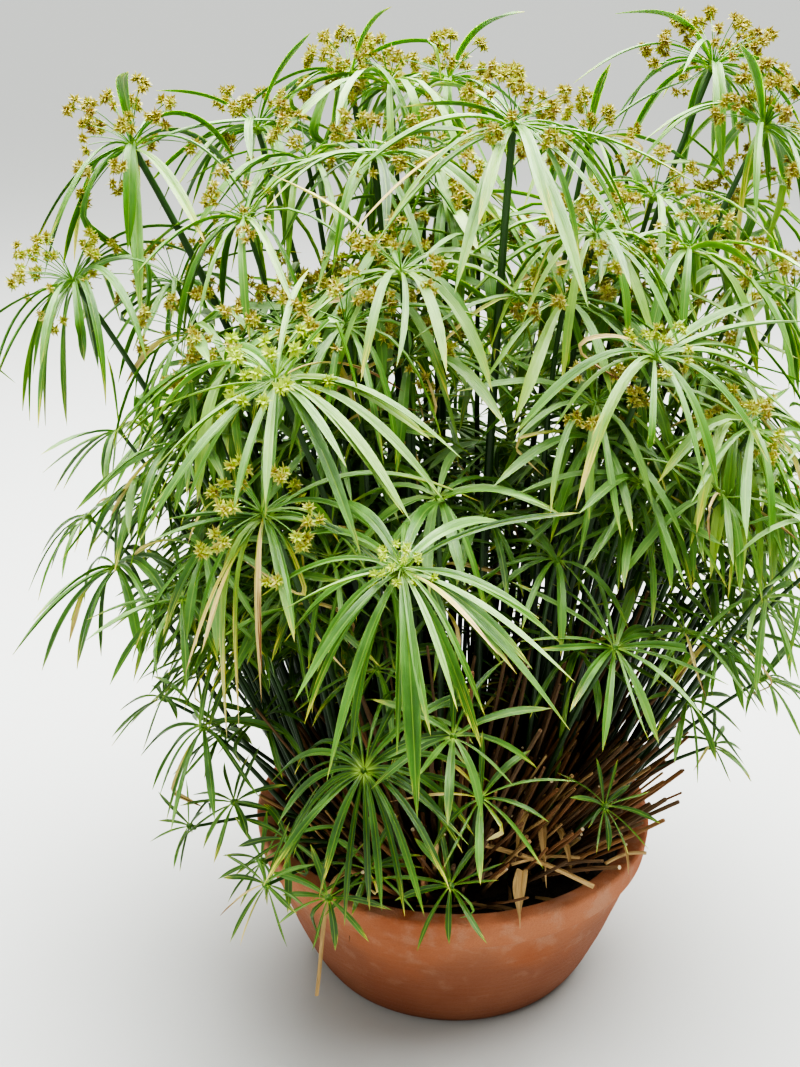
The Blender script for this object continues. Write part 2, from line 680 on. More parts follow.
# ---- The umbrellas -----------------------------------------------------------------
# At the top of each culm a whorl of long strap leaves, folded along a keel. Each is
# narrow at its root, widest past its middle and pointed; it leaves the hub rising and
# is bent down by its own weight. Old leaves wither from the tip and some are snapped.

BLADE_WIDTH = 0.0180
WHORL_DEPTH = 0.005  # the leaves of a whorl leave the culm over this height
CROWDED = 20  # leaves in a whorl, above which they are narrower
HUB_RADIUS = 0.0046
LEAF_GLOW_DEPTH = 0.0015  # how deep light goes into a leaf
LEAF_DEEP = (0.026, 0.086, 0.008, 1)
LEAF_GREEN = (0.082, 0.240, 0.016, 1)
LEAF_LIME = (0.36, 0.55, 0.075, 1)
LEAF_BLOOM = (0.39, 0.58, 0.25, 1)
LEAF_YELLOW = (0.60, 0.56, 0.065, 1)
LEAF_STRAW = (0.68, 0.54, 0.22, 1)
LEAF_BROWN = (0.20, 0.080, 0.025, 1)

# A blade's section: across and up, as shares of half its width, and thickness in metres. A
# keel lies between two steep sides and two flatter edges, or two sides alone if it is small.
BROAD_SECTION = np.array(
    (
        (1, 0.52, 0, -0.52, -1, -0.52, 0, 0.52),
        (0.74, 0.62, 0, 0.62, 0.74, 0.62, 0, 0.62),
        (0, 0, 0, 0, 0, 0.0005, 0.0011, 0.0005),
    )
)
SMALL_SECTION = np.array(((1, 0, -1, 0), (0.8, 0, 0.8, 0), (0, 0, 0, 0.0009)))

# Each umbrella: leaf length in metres, number of leaves, how steeply they leave the hub
# in degrees, how much their weight bends them, direction of the first leaf in degrees (0
# to the photograph's right, 270 towards its viewer), shade from deep green to lime, share
# of withered leaves, and the direction in which those are most frequent.
UMBRELLAS = (
    (0.215, 13, 14, 1.6, 283, 0.42, 0.03, 180),
    (0.205, 14, 20, 2.2, 295, 0.40, 0.04, 90),
    (0.190, 15, 16, 1.7, 282, 0.40, 0.04, 120),
    (0.200, 15, 10, 1.3, 255, 0.50, 0.03, 90),
    (0.185, 13, 18, 1.7, 255, 0.55, 0.04, 180),
    (0.210, 23, 16, 2.4, 250, 0.36, 0.05, 200),
    (0.190, 14, 20, 2.4, 290, 0.75, 0.04, 30),
    (0.180, 15, 10, 1.6, 300, 0.40, 0.42, 225),
    (0.185, 19, 2, 1.10, 262, 0.27, 0.05, 160),
    (0.165, 16, 22, 1.8, 250, 0.40, 0.06, 180),
    (0.165, 18, 10, 1.5, 262, 0.30, 0.05, 200),
    (0.135, 14, 14, 1.1, 250, 0.32, 0.12, 200),
    (0.165, 26, 14, 1.8, 262, 0.04, 0.05, 200),
    (0.130, 15, 8, 0.8, 250, 0.42, 0.03, 0),
    (0.130, 14, 10, 0.9, 250, 0.42, 0.05, 0),
    (0.066, 12, 20, 0.6, 270, 0.15, 0.05, 0),
    (0.190, 18, 22, 1.8, 250, 0.50, 0.04, 90),
    (0.190, 18, 12, 1.9, 270, 0.50, 0.04, 90),
    (0.190, 17, 22, 1.8, 255, 0.45, 0.04, 180),
    (0.205, 18, 20, 2.0, 265, 0.45, 0.04, 0),
    (0.195, 18, 20, 2.0, 250, 0.45, 0.04, 0),
    (0.180, 16, 20, 1.8, 260, 0.45, 0.04, 0),
    (0.190, 17, 16, 1.8, 90, 0.45, 0.04, 90),
    (0.185, 17, 16, 1.8, 100, 0.45, 0.06, 90),
    (0.180, 15, 16, 1.5, 60, 0.45, 0.04, 90),
    (0.180, 15, 16, 1.5, 120, 0.45, 0.04, 90),
    (0.165, 14, 14, 1.4, 90, 0.45, 0.06, 90),
    (0.160, 14, 14, 1.4, 10, 0.45, 0.04, 0),
)


def withering_group():
    """The colour of a leaf that withers from its tip: fresh, then yellow, then straw, then
    brown at the very tip. Withered is 0 on fresh leaf and 1 on dead leaf."""
    inputs = {"Fresh": "Color", "Along": "Float", "Withering": "Float", "Unevenness": "Float"}
    tree, given, result = group("withering", inputs, {"Colour": "Color", "Withered": "Float"})
    uneven = sums("MULTIPLY", given["Unevenness"], 0.35)
    reach = sums("MULTIPLY_ADD", given["Along"], 0.75, uneven)
    age = sums("MULTIPLY_ADD", given["Withering"], 1.1, reach)
    colour = blend(step_between(age, 0.98, 1.16), given["Fresh"], LEAF_YELLOW)
    colour = blend(step_between(age, 1.12, 1.32), colour, LEAF_STRAW)
    colour = blend(step_between(age, 1.48, 1.8), colour, LEAF_BROWN)
    tree.links.new(colour, result["Colour"])
    tree.links.new(step_between(age, 0.98, 1.3), result["Withered"])
    return tree


WITHERING = withering_group()


def leaf_material():
    """Leaf: deep green to lime by shade, cloudy, with fine veins and a pale keel, a bloom of
    wax on what looks up, glossy where fresh and dull where withered."""
    made, tree, shader = new_material("leaf")
    grain, along, withering, shade = marks(tree)
    surface = node(tree, "TexCoord").outputs
    cloud, _ = patches(surface["Object"], 0.05, 0.002)
    vein = streaks(grain, 0.0007, 0.05)
    shade = sums("ADD", shade, sums("MULTIPLY_ADD", cloud, 0.24, -0.12))
    off_keel = sums("ABSOLUTE", node(tree, "SeparateXYZ", {0: grain}).outputs["X"])
    facing = node(tree, "SeparateXYZ", {0: surface["Normal"]}).outputs["Z"]
    waxy = sums("MULTIPLY", step_between(facing, 0.2, 1.0), step_between(shade, 0.05, 0.7))
    colour = blend(step_between(shade, 0.0, 0.5), LEAF_DEEP, LEAF_GREEN)
    colour = blend(step_between(shade, 0.45, 1.1), colour, LEAF_LIME)
    colour = blend(vein, colour, LEAF_DEEP, 0.22)
    colour = blend(step_between(off_keel, 0.0009, 0.0002), colour, LEAF_LIME, 0.35)
    colour = blend(step_between(along, 0.10, 0.01), colour, LEAF_LIME, 0.75)
    colour = blend(waxy, colour, LEAF_BLOOM, 0.5)
    sockets = {"Fresh": colour, "Along": along, "Withering": withering, "Unevenness": vein}
    aged = node(tree, "Group", sockets, node_tree=WITHERING).outputs
    roughness = sums("MULTIPLY_ADD", aged["Withered"], 0.35, 0.36)
    feed(shader, aged["Colour"], roughness, vein, 0.0003)
    shader.inputs["Specular IOR Level"].default_value = 0.55
    shader.inputs["Subsurface Weight"].default_value = 0.35
    shader.inputs["Subsurface Radius"].default_value = (0.7, 1.0, 0.2)
    shader.inputs["Subsurface Scale"].default_value = LEAF_GLOW_DEPTH
    return made


def outline(rows, root, widest, long_point):
    """A blade's width at equal steps, as a share of the widest: a root that widens to the
    widest place, and a point that starts long_point from the tip."""
    share = np.linspace(0, 1, rows)
    rooted = root + (1 - root) * np.sin(np.clip(share / widest, 0, 1) * math.pi / 2)
    point = 1 - np.clip((share - 1 + long_point) / long_point, 0, 1) ** 1.7
    return rooted * (0.03 + 0.97 * point)


def blades(root, axis, out, wide, section, **each):
    """Leaf blades. Along a blade the slope falls as it does in a strap that is bent by its
    own weight: the inverse Gudermannian of the elevation falls by hang in all, fastest
    near the root, where the blade carries most. The compass direction turns by sway, and
    a snapped blade drops by fold at one place. The line is the running sum of the
    headings. The section is flatter towards the tip and turns about the line by roll."""
    each = {"sway": 0.0, "fold_at": 0.5, "fold": 0.0, "roll": 0.0, "withering": 1.0} | each
    each = {name: np.broadcast_to(value, len(root))[:, None] for name, value in each.items()}
    rows = len(wide)
    share = np.linspace(0, 1, rows)
    bent = 1 - (1 - share) ** 1.8
    first = out * np.cos(each["lift"]) + axis * np.sin(each["lift"])
    level = np.linalg.norm(first[:, :2], axis=1, keepdims=True)
    elevation = np.arctan(np.sinh(np.arcsinh(first[:, 2:] / level) - each["hang"] * bent))
    elevation = elevation - each["fold"] * np.clip((share - each["fold_at"]) / 0.05, 0, 1)
    compass = np.arctan2(first[:, 1:2], first[:, :1]) + each["sway"] * share**2
    level = np.cos(elevation)
    heading = vectors(level * np.cos(compass), level * np.sin(compass), np.sin(elevation))
    steps = (heading[:, 1:] + heading[:, :-1]) / 2 * each["length"][..., None] / (rows - 1)
    line = root[:, None] + np.concatenate([0 * steps[:, :1], steps.cumsum(1)], 1)

    left = square_to(heading, np.cross(axis, out)[:, None])
    rise = np.cross(heading, left)
    turn = (each["roll"] * share)[..., None]
    left, rise = left * np.cos(turn) + rise * np.sin(turn), rise * np.cos(turn) - left * np.sin(turn)

    wide = wide[:, None]
    half = each["width"][..., None] / 2 * wide
    valley = np.tan(np.radians(42 - 22 * share))[:, None]
    x = half * section[0]
    y = half * valley * section[1] - (0.35 + 0.65 * wide) * section[2]
    start = np.arange(len(root))[:, None, None] * 0.37  # so that no two have the same veins
    grain = vectors(x, y, (share * each["length"])[..., None] + start)
    marked = (share[:, None], each["withering"][..., None], each["shade"][..., None])
    growth = vectors(*marked, x)[..., :3]  # x gives the shape alone
    tip = line[:, -1] + heading[:, -1] * 0.001
    return skin(rings_on(line, left, rise, x, y), line[:, 0], tip, grain, growth)


def directions(axis, degrees):
    """Directions square to a culm's axis, by the compass: 0 to the photograph's right, 90
    away from its viewer."""
    right = square_to(axis, np.array((1.0, 0, 0)))
    angle = np.radians(degrees)[:, None]
    return right * np.cos(angle) + np.cross(axis, right) * np.sin(angle)


def umbrella(head, axis, look, seed, rows=18, section=BROAD_SECTION):
    """The leaves of one whorl, evenly spread but for a little chance, and its hub. Longer
    leaves are wider and crowded ones narrower, and a few are stiffer and stand up."""
    length, count, lift, hang, start, shade, withered, old_side = look
    draw = np.random.default_rng(seed)
    number = np.arange(count)
    degrees = start + number * 360 / count + draw.normal(0, 0.16 * 360 / count, count)
    out = directions(axis, degrees)
    stacked = axis * (0.001 + WHORL_DEPTH * ((number * 0.618) % 1))[:, None]
    old = draw.random(count) < withered * (1 + np.cos(np.radians(degrees - old_side)))
    widest = BLADE_WIDTH * (0.2 + 3.4 * length) * min(1, (CROWDED / count) ** 0.7)
    width = widest * draw.uniform(0.35, 1.0, count)
    snapped = draw.random(count) < 0.05 + 0.25 * old
    stiff = draw.random(count) < 0.12
    leaves = blades(
        head + out * HUB_RADIUS * 0.7 + stacked,
        axis,
        out,
        outline(rows, 0.32, 0.6, 0.32),
        section,
        lift=np.radians(lift + draw.normal(0, 11, count) + 14 * stiff),
        length=length * (1 - 0.30 * draw.random(count) ** 1.5),
        width=width * (1 - 0.4 * old),
        hang=hang * draw.uniform(0.55, 1.25, count) * (1 - 0.4 * stiff),
        sway=draw.normal(0, 0.22, count),
        fold_at=draw.uniform(0.35, 0.7, count),
        fold=np.radians(draw.uniform(50, 120, count)) * snapped,
        roll=draw.normal(0, 0.35, count) * (1 + 3 * old),
        withering=np.where(old, draw.uniform(0.35, 1.0, count), 0.18 * draw.random(count)),
        shade=shade + draw.normal(0, 0.13, count),
    )
    stand = np.array((-0.006, -0.001, 0.002, 0.005, 0.008))
    hub_line = (head + axis * stand[:, None])[None]
    hub_radius = HUB_RADIUS * np.array((0.42, 0.75, 1.0, 0.8, 0.3))
    return leaves, tubes(hub_line, hub_radius, 8, shade + 0.2)


UPRIGHT = np.array((0.0, 0.0, 1.0))

# Leaves that the photograph shows one by one: the shoot, the compass direction and the
# slope at the hub in degrees, how much its weight bends it, length and width in metres,
# how far it has withered, and its shade.
SEEN_LEAVES = (
    (1, 250, -18, 0.7, 0.210, 0.0130, 0.10, 0.60),
    (1, 292, -15, 0.7, 0.235, 0.0150, 0.05, 0.60),
    (1, 318, -5, 0.85, 0.187, 0.0090, 0.10, 0.50),
    (1, 215, -3, 0.85, 0.200, 0.0125, 0.05, 0.60),
    (1, 206, 2, 0.9, 0.220, 0.0050, 0.70, 0.60),
    (1, 355, 10, 0.7, 0.200, 0.0070, 0.20, 0.55),
    (2, 280, -35, 0.7, 0.205, 0.0135, 0.10, 0.60),
    (2, 310, 0, 0.85, 0.170, 0.0130, 0.20, 0.75),
    (2, 38, 22, 0.5, 0.225, 0.0095, 0.10, 0.45),
    (3, 182, 8, 0.4, 0.155, 0.0090, 0.10, 0.60),
    (3, 245, -20, 0.8, 0.180, 0.0115, 0.10, 0.60),
    (3, 300, -10, 0.9, 0.165, 0.0095, 0.10, 0.50),
    (4, 345, 22, 1.1, 0.205, 0.0130, 0.05, 0.65),
    (4, 335, 12, 1.1, 0.210, 0.0125, 0.05, 0.60),
    (4, 320, 5, 1.0, 0.208, 0.0135, 0.05, 0.75),
    (4, 305, 5, 0.7, 0.140, 0.0100, 0.05, 0.55),
    (4, 303, -8, 0.9, 0.210, 0.0125, 0.05, 0.25),
    (4, 268, -25, 0.7, 0.145, 0.0125, 0.05, 0.30),
    (4, 232, -2, 0.85, 0.225, 0.0110, 0.05, 0.30),
    (4, 215, 0, 0.7, 0.150, 0.0090, 0.10, 0.55),
    (4, 165, 45, 2.0, 0.170, 0.0120, 0.05, 0.60),
    (4, 190, 12, 0.6, 0.125, 0.0045, 0.10, 0.80),
    (5, 235, 8, 1.5, 0.197, 0.0135, 0.35, 0.75),
    (5, 205, 22, 1.5, 0.140, 0.0085, 0.10, 0.65),
    (5, 355, 16, 1.1, 0.170, 0.0090, 0.10, 0.75),
    (5, 30, 22, 0.5, 0.215, 0.0145, 0.05, 0.60),
    (5, 45, 24, 0.4, 0.190, 0.0130, 0.05, 0.55),
    (5, 115, 20, 0.3, 0.140, 0.0120, 0.05, 0.60),
    (5, 100, 18, 0.3, 0.160, 0.0130, 0.05, 0.55),
    (5, 62, 25, 0.3, 0.125, 0.0070, 0.10, 0.80),
    (7, 272, -35, 1.0, 0.173, 0.0165, 0.10, 1.20),
    (7, 252, -30, 1.0, 0.160, 0.0145, 0.10, 1.20),
    (7, 238, -8, 1.2, 0.138, 0.0110, 0.15, 1.10),
    (7, 50, 25, 0.3, 0.120, 0.0125, 0.05, 0.30),
    (8, 225, 0, 4.5, 0.250, 0.0130, 0.38, 0.80),
    (8, 240, 0, 4.5, 0.235, 0.0090, 0.48, 0.80),
    (8, 205, 0, 4.5, 0.215, 0.0085, 0.62, 0.80),
    (8, 265, 0, 4.5, 0.200, 0.0070, 0.72, 0.80),
    (8, 345, 8, 0.5, 0.142, 0.0120, 0.05, 0.60),
    (8, 290, -12, 0.75, 0.140, 0.0115, 0.15, 0.60),
    (8, 25, 40, 1.3, 0.250, 0.0100, 0.25, 0.55),
    (8, 178, 12, 0.4, 0.100, 0.0110, 0.05, 0.35),
    (8, 188, 8, 0.5, 0.115, 0.0095, 0.05, 0.35),
    (9, 278, -26, 0.95, 0.226, 0.0165, 0.05, 0.25),
    (9, 241, -27, 0.9, 0.203, 0.0120, 0.05, 0.28),
    (9, 225, -8, 0.8, 0.157, 0.0105, 0.05, 0.26),
    (9, 325, -5, 0.7, 0.212, 0.0120, 0.05, 0.22),
    (9, 331, 2, 0.62, 0.190, 0.0105, 0.05, 0.55),
    (9, 322, 0, 0.7, 0.146, 0.0080, 0.20, 0.60),
    (9, 318, 5, 0.7, 0.125, 0.0065, 0.70, 0.60),
    (9, 295, -8, 0.75, 0.150, 0.0065, 0.10, 0.60),
    (9, 190, 5, 0.6, 0.115, 0.0065, 0.10, 0.70),
    (9, 135, 25, 0.5, 0.070, 0.0090, 0.05, 0.80),
    (21, 240, 0, 4.5, 0.185, 0.0090, 0.60, 0.60),
)


def seen_leaves(shoot):
    """The leaves of one shoot that are placed by hand. Their slopes are from level and
    not from the culm."""
    rows = np.array([row for row in SEEN_LEAVES if row[0] == shoot], float)
    _, compass, lift, hang, length, width, withering, shade = rows.T
    out = directions(UPRIGHT, compass)
    return blades(
        shoot_heads[shoot - 1] + out * HUB_RADIUS * 0.7,
        UPRIGHT,
        out,
        outline(18, 0.36, 0.5, 0.42),
        BROAD_SECTION,
        lift=np.radians(lift),
        length=length,
        width=width,
        hang=hang,
        roll=0.3 * np.sin(compass) + 0.15 * hang,  # of whole degrees, the sine is mere chance
        withering=withering,
        shade=shade,
    )


leaf_green = leaf_material()
shoot_heads = shoot_curves[:, 3]
shoot_axes = unit(shoot_curves[:, 3] - shoot_curves[:, 2])
for count, name in enumerate(shoot_names):
    parts = [*umbrella(shoot_heads[count], shoot_axes[count], UMBRELLAS[count], 100 + count)]
    if any(row[0] == count + 1 for row in SEEN_LEAVES):
        parts.append(seen_leaves(count + 1))
    whorl = piece("umbrella_" + name, "leaf", (joined(parts), leaf_green))
    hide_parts("leaf_whorl_" + name)


# ---- The flowers -------------------------------------------------------------------
# Above the leaves thin green rays fan out of the hub, and each ends in a bunch of stars of
# pointed spikelets: lime when young, golden brown when ripe.

RAY_RADIUS = 0.0007
BUNCH_RADIUS = 0.0072  # from the end of a ray to the middle of its stars
SPIKELETS = 21
SPIKELET_LENGTH = 0.0084
SPIKELET_WIDTH = 0.0034
SCALE_SECTION = np.array(((1, 0, -1), (-0.15, 0.6, -0.15)))  # across and up, shares of half width
BROADEST = 0.4  # the share of a scale's length at which it is broadest
FLOWER_LIME = (0.50, 0.64, 0.070, 1)
FLOWER_GOLD = (0.46, 0.42, 0.072, 1)
FLOWER_BROWN = (0.26, 0.150, 0.030, 1)
FLOWER_POINT = (0.80, 0.82, 0.25, 1)

# Each flower head: the shoot it stands on, rays, the longest in metres, ripeness, and the
# size of its stars as a share of the largest.
FLOWER_HEADS = (
    (1, 25, 0.070, 0.70, 1.05),
    (2, 24, 0.086, 0.75, 1.1),
    (3, 16, 0.070, 0.70, 1.0),
    (4, 24, 0.066, -0.05, 1.3),
    (5, 12, 0.045, 0.35, 0.9),
    (6, 28, 0.078, 0.55, 1.0),
    (7, 18, 0.060, 0.60, 1.0),
    (8, 11, 0.075, 0.45, 1.2),
    (9, 18, 0.030, -0.1, 0.8),
    (10, 15, 0.080, 0.80, 1.0),
    (17, 26, 0.072, 0.65, 1.05),
    (18, 26, 0.072, 0.65, 1.05),
    (19, 20, 0.068, 0.70, 1.0),
    (20, 36, 0.092, 0.80, 1.1),
    (21, 34, 0.088, 0.80, 1.1),
    (22, 15, 0.065, 0.70, 1.0),
    (23, 15, 0.065, 0.75, 1.0),
    (24, 15, 0.065, 0.75, 1.0),
)


def flower_material():
    """Lime, golden or brown by ripeness, with darker scales and paler points."""
    made, tree, shader = new_material("flower")
    grain, along, _, ripe = marks(tree)
    scale = streaks(grain, 0.0006, 0.0011)
    dark = sums("MULTIPLY", scale, ripe)
    pale = sums("MULTIPLY", step_between(along, 0.4, 1.0), step_between(ripe, -0.3, 0.7))
    colour = blend(step_between(ripe, 0.2, 0.65), FLOWER_LIME, FLOWER_GOLD)
    colour = blend(step_between(ripe, 0.75, 1.15), colour, FLOWER_BROWN)
    colour = blend(dark, colour, FLOWER_BROWN, 0.6)
    colour = blend(pale, colour, FLOWER_POINT, 0.6)
    feed(shader, colour, sums("MULTIPLY_ADD", scale, 0.2, 0.4), scale, 0.0003)
    return made


def around(heading):
    """Two directions square to each heading and to each other."""
    far_axis = np.eye(3)[np.abs(heading).argmin(-1)]
    right = unit(np.cross(far_axis, heading))
    return right, np.cross(heading, right)


def spindles(start, heading, length, width, shade):
    """Flat pointed scales: one ring of three corners between two points. The share of the
    length is 0 at the first point and 1 at the last point."""
    right, up = around(heading)
    x, y = SCALE_SECTION[:, None] * width[:, None] / 2
    tip = start + heading * length[:, None]
    middle = start + heading * length[:, None] * BROADEST
    growth = vectors(BROADEST, 0.0, shade[:, None], x)[:, None, :, :3]  # x gives the shape
    scales = skin(rings_on(middle, right, up, x, y)[:, None], start, tip, growth=growth)
    scales["growth"].reshape(-1, 5, 3)[:, 3:, 0] = (0, 1)
    return scales


def spread_round(heading, share, turn):
    """Directions about the headings. Share is how much of a ball lies between heading and
    direction: the cosine of the angle between them is 1 less twice the share."""
    near = (1 - 2 * np.clip(share, 0, 1))[:, None]
    right, up = around(heading)
    level = right * np.cos(turn)[:, None] + up * np.sin(turn)[:, None]
    return heading * near + level * np.sqrt(1 - near**2)


def stars(middle, heading, ripe, spikelets, size, seed):
    """Spikelets out of each star's middle, spread like the seeds of a sunflower over all
    but the side that its ray comes from."""
    draw = np.random.default_rng(seed)
    total = len(middle) * spikelets
    number = np.tile(np.arange(spikelets) + 0.5, len(middle))
    share = 0.87 * number / spikelets + draw.normal(0, 0.03, total)
    first = np.repeat(draw.uniform(0, 6, len(middle)), spikelets)
    turn = number * math.radians(GOLDEN_ANGLE) + first
    ways = spread_round(np.repeat(heading, spikelets, 0), share, turn)
    length = size * SPIKELET_LENGTH * draw.uniform(0.6, 1.12, total)
    width = size * SPIKELET_WIDTH * draw.uniform(0.8, 1.2, total)
    shade = np.repeat(ripe, spikelets) + draw.normal(0, 0.2, total)
    return spindles(np.repeat(middle, spikelets, 0), ways, length, width, shade)


def flower_head(head, axis, rays, longest, ripeness, seed, size=1.0, spikelets=SPIKELETS):
    """Rays that leave the hub at all slopes, in no order, and bend over a little, and
    round the end of each a bunch of stars: up to four on a long ray, more as they ripen,
    and one on a short ray."""
    draw = np.random.default_rng(seed)
    number = np.arange(rays)
    slope = np.radians(18 + 94 * draw.permutation(number) / rays)[:, None]
    out = directions(axis, number * GOLDEN_ANGLE + draw.uniform(0, 360))
    heading = out * np.sin(slope) + axis * np.cos(slope)
    length = longest * draw.uniform(0.55, 1.0, (rays, 1))
    start = np.broadcast_to(head + axis * 0.008, heading.shape)
    sag = np.array((0, 0, -0.20)) * length
    tip = start + heading * length + sag
    bend = (start + heading * length * 0.35, start + heading * length * 0.7 + sag * 0.3)
    line = cubic(np.stack([start, *bend, tip], 1), 6)
    ray_skin = tubes(line, RAY_RADIUS * np.linspace(1.15, 0.8, 6), 5, 0.75 - 0.35 * ripeness)
    way = unit(line[:, -1] - line[:, -2])
    stars_on = np.where(length[:, 0] > 0.7 * longest, 1 + round(4 * ripeness), 1)
    ray = np.repeat(number, stars_on)
    turn = np.arange(len(ray)) * math.radians(GOLDEN_ANGLE)
    off = spread_round(way[ray], draw.uniform(0, 0.75, len(ray)), turn)
    middle = tip[ray] + off * size * BUNCH_RADIUS * draw.uniform(0.6, 1.2, (len(ray), 1))
    ripe = ripeness + draw.normal(0, 0.08, len(ray))
    return ray_skin, stars(middle, unit(off + way[ray] * 0.4), ripe, spikelets, size, seed + 1)


bloom = flower_material()
for shoot, rays, longest, ripeness, size in FLOWER_HEADS:
    where = (shoot_heads[shoot - 1], shoot_axes[shoot - 1])
    ray_skin, star_skin = flower_head(*where, rays, longest, ripeness, 300 + shoot, size)
    piece(f"flowers_{shoot:02d}", "leaf", (ray_skin, leaf_green), (star_skin, bloom))


# ---- The shoots between ------------------------------------------------------------
# Between the main shoots stand many more of the same kind, most of them lower and without
# flowers, so close that little light comes through, and spears that have not opened yet.

TALL_BETWEEN = 132  # places for shoots; those that would hide others aren't used
LOW_BETWEEN = 170
SIDE_BETWEEN = 120
SPEARS = 16
PARTIES = 8  # they are made in this many pieces
ROWS_BETWEEN = 8
SPIKELETS_BETWEEN = 14
RAYS_BETWEEN = 12
FLOWERS_ABOVE = 0.6  # the height above the soil from which they flower
FIRST_CULM_X = 0.045  # where the first shoot's culm stands, which is in plain view
ASIDE = 0.09  # how far those beside it stand aside
ASIDE_REACH = 0.06  # and how far from it that wears off

# The heads of those that the photograph shows: metres to the right, away from its viewer,
# and above the soil.
SEEN_BETWEEN = (
    (-0.02, -0.20, 0.53), (0.18, 0.00, 0.58), (-0.46, 0.05, 0.40), (-0.43, 0.12, 0.49),
    (-0.32, -0.12, 0.06), (0.00, -0.31, 0.31), (-0.22, -0.20, 0.07), (-0.09, -0.28, 0.12),
    (0.32, -0.05, 0.15), (-0.12, 0.10, 0.62), (-0.02, 0.10, 0.78), (0.22, 0.10, 0.79),
    (0.30, 0.22, 0.74), (0.25, 0.00, 0.75), (0.35, 0.25, 0.76), (0.34, 0.10, 0.69),
    (0.41, 0.18, 0.66), (-0.18, 0.10, 0.83), (-0.05, 0.15, 0.83), (-0.24, 0.00, 0.78),
    (-0.10, -0.05, 0.72), (-0.30, -0.05, 0.66), (-0.09, 0.22, 0.90), (0.14, 0.00, 0.77),
    (0.02, 0.05, 0.74), (0.11, -0.08, 0.71), (0.28, -0.05, 0.50), (0.20, -0.12, 0.48),
    (0.36, 0.00, 0.41), (0.11, -0.15, 0.44), (-0.14, -0.10, 0.56), (0.20, -0.02, 0.62),
    (0.33, 0.12, 0.55), (-0.36, -0.05, 0.49), (-0.06, 0.00, 0.66), (0.15, -0.12, 0.57),
    (0.17, 0.10, 0.64), (-0.20, -0.31, 0.12), (0.00, -0.33, 0.14), (-0.13, -0.33, 0.12),
    (-0.25, -0.20, 0.15), (-0.18, -0.27, 0.15), (-0.36, -0.05, 0.20), (0.03, -0.33, 0.25),
    (0.27, -0.12, 0.25), (0.17, 0.05, 0.53), (0.23, 0.00, 0.51), (0.12, 0.00, 0.49),
    (0.30, 0.05, 0.44), (-0.15, 0.00, 0.47), (0.03, -0.10, 0.47), (-0.25, 0.00, 0.51),
    (0.34, 0.00, 0.38), (-0.37, 0.05, 0.43),
)


def rooted_curve(head):
    """A culm's curve: it leaves the dome squarely, or steeper where its head is low and
    far out, and arrives leaning out a little more than the straight way."""
    away = head * (1, 1, 0)
    far = np.linalg.norm(away)
    lean = math.atan2(far, head[2] - SOIL_LEVEL)
    low = max(lean - 0.8, 0)
    foot = away / max(far, 0.02) * CROWN_RADIUS * min(0.93, 0.22 + 0.95 * lean)
    foot[2] = crown_top(foot)
    reach = np.linalg.norm(head - foot) / 3
    leave = unit(unit(foot - (0, 0, SOIL_LEVEL - FAN_DEPTH)) + (0, 0, 1.2 * low))
    arrive = unit(unit(head - foot) + away * 0.5 - (0, 0, 0.4 * low))
    return np.array([foot, foot + leave * reach, head - arrive * reach, head])


def spread_heads(count, widest, lowest, highest, seed):
    """Heads at golden angles, out to the widest, at a share between lowest and highest
    of the height of a dome that is lower towards the outside."""
    draw = np.random.default_rng(seed)
    out = 0.03 + (widest - 0.03) * np.sqrt((np.arange(count) + 0.5) / count)
    heads = level_places(out, np.arange(count) * math.radians(GOLDEN_ANGLE))
    heads[:, 2] = (0.86 - 0.75 * out) * draw.uniform(lowest, highest, count)
    return heads


def look_between(member, head):
    """What UMBRELLAS gives for a main shoot. The taller one of these is, the longer, more
    and limper are its leaves and the nearer to lime, and the more so on the right."""
    tall = head[2] - SOIL_LEVEL
    length = 0.05 + 0.19 * min(tall, 0.75)
    shade = 0.07 + 0.60 * tall + 0.4 * max(head[0], 0)
    turn = 37 * member
    return length, 10 + int(9 * tall), 16, 0.35 + 1.9 * tall, turn, shade, 0.05, turn


# The other heads are made up. The tall ones keep away from the front, and the low ones from
# the front and from the dead stalks at the front right. The last fill the left and the right
# side. Tall ones that aren't far back step aside from the first shoot's culm.
tall_heads = spread_heads(TALL_BETWEEN, 0.42, 0.42, 1.0, 61)
tall_heads = tall_heads[tall_heads[:, 1] > -0.16]
low_heads = spread_heads(LOW_BETWEEN, 0.32, 0.25, 0.65, 64)
low_heads = low_heads[(low_heads @ LONGEST_TO < 0.09) & (low_heads[:, 1] > -0.2)]
side_heads = spread_heads(SIDE_BETWEEN, 0.44, 0.55, 0.95, 65)
side_heads = side_heads[(np.abs(side_heads[:, 0]) > 0.26) & (np.abs(side_heads[:, 1]) < 0.22)]
off_culm = tall_heads[:, 0] - FIRST_CULM_X
aside = np.where(tall_heads[:, 1] < 0.1, ASIDE, 0) * np.sign(off_culm)
tall_heads[:, 0] += aside * np.exp(-((off_culm / ASIDE_REACH) ** 2))
made_up = np.concatenate([tall_heads, low_heads, side_heads])
made_up[:, 0] = np.maximum(made_up[:, 0], 0.35 * made_up[:, 0] - 0.17)  # the left is open
between_heads = np.concatenate([np.array(SEEN_BETWEEN), made_up])
between_heads[:, 2] += SOIL_LEVEL
between_curves = np.array([rooted_curve(head) for head in between_heads])
between_draw = np.random.default_rng(62)
between_shades = between_draw.random(len(between_heads))
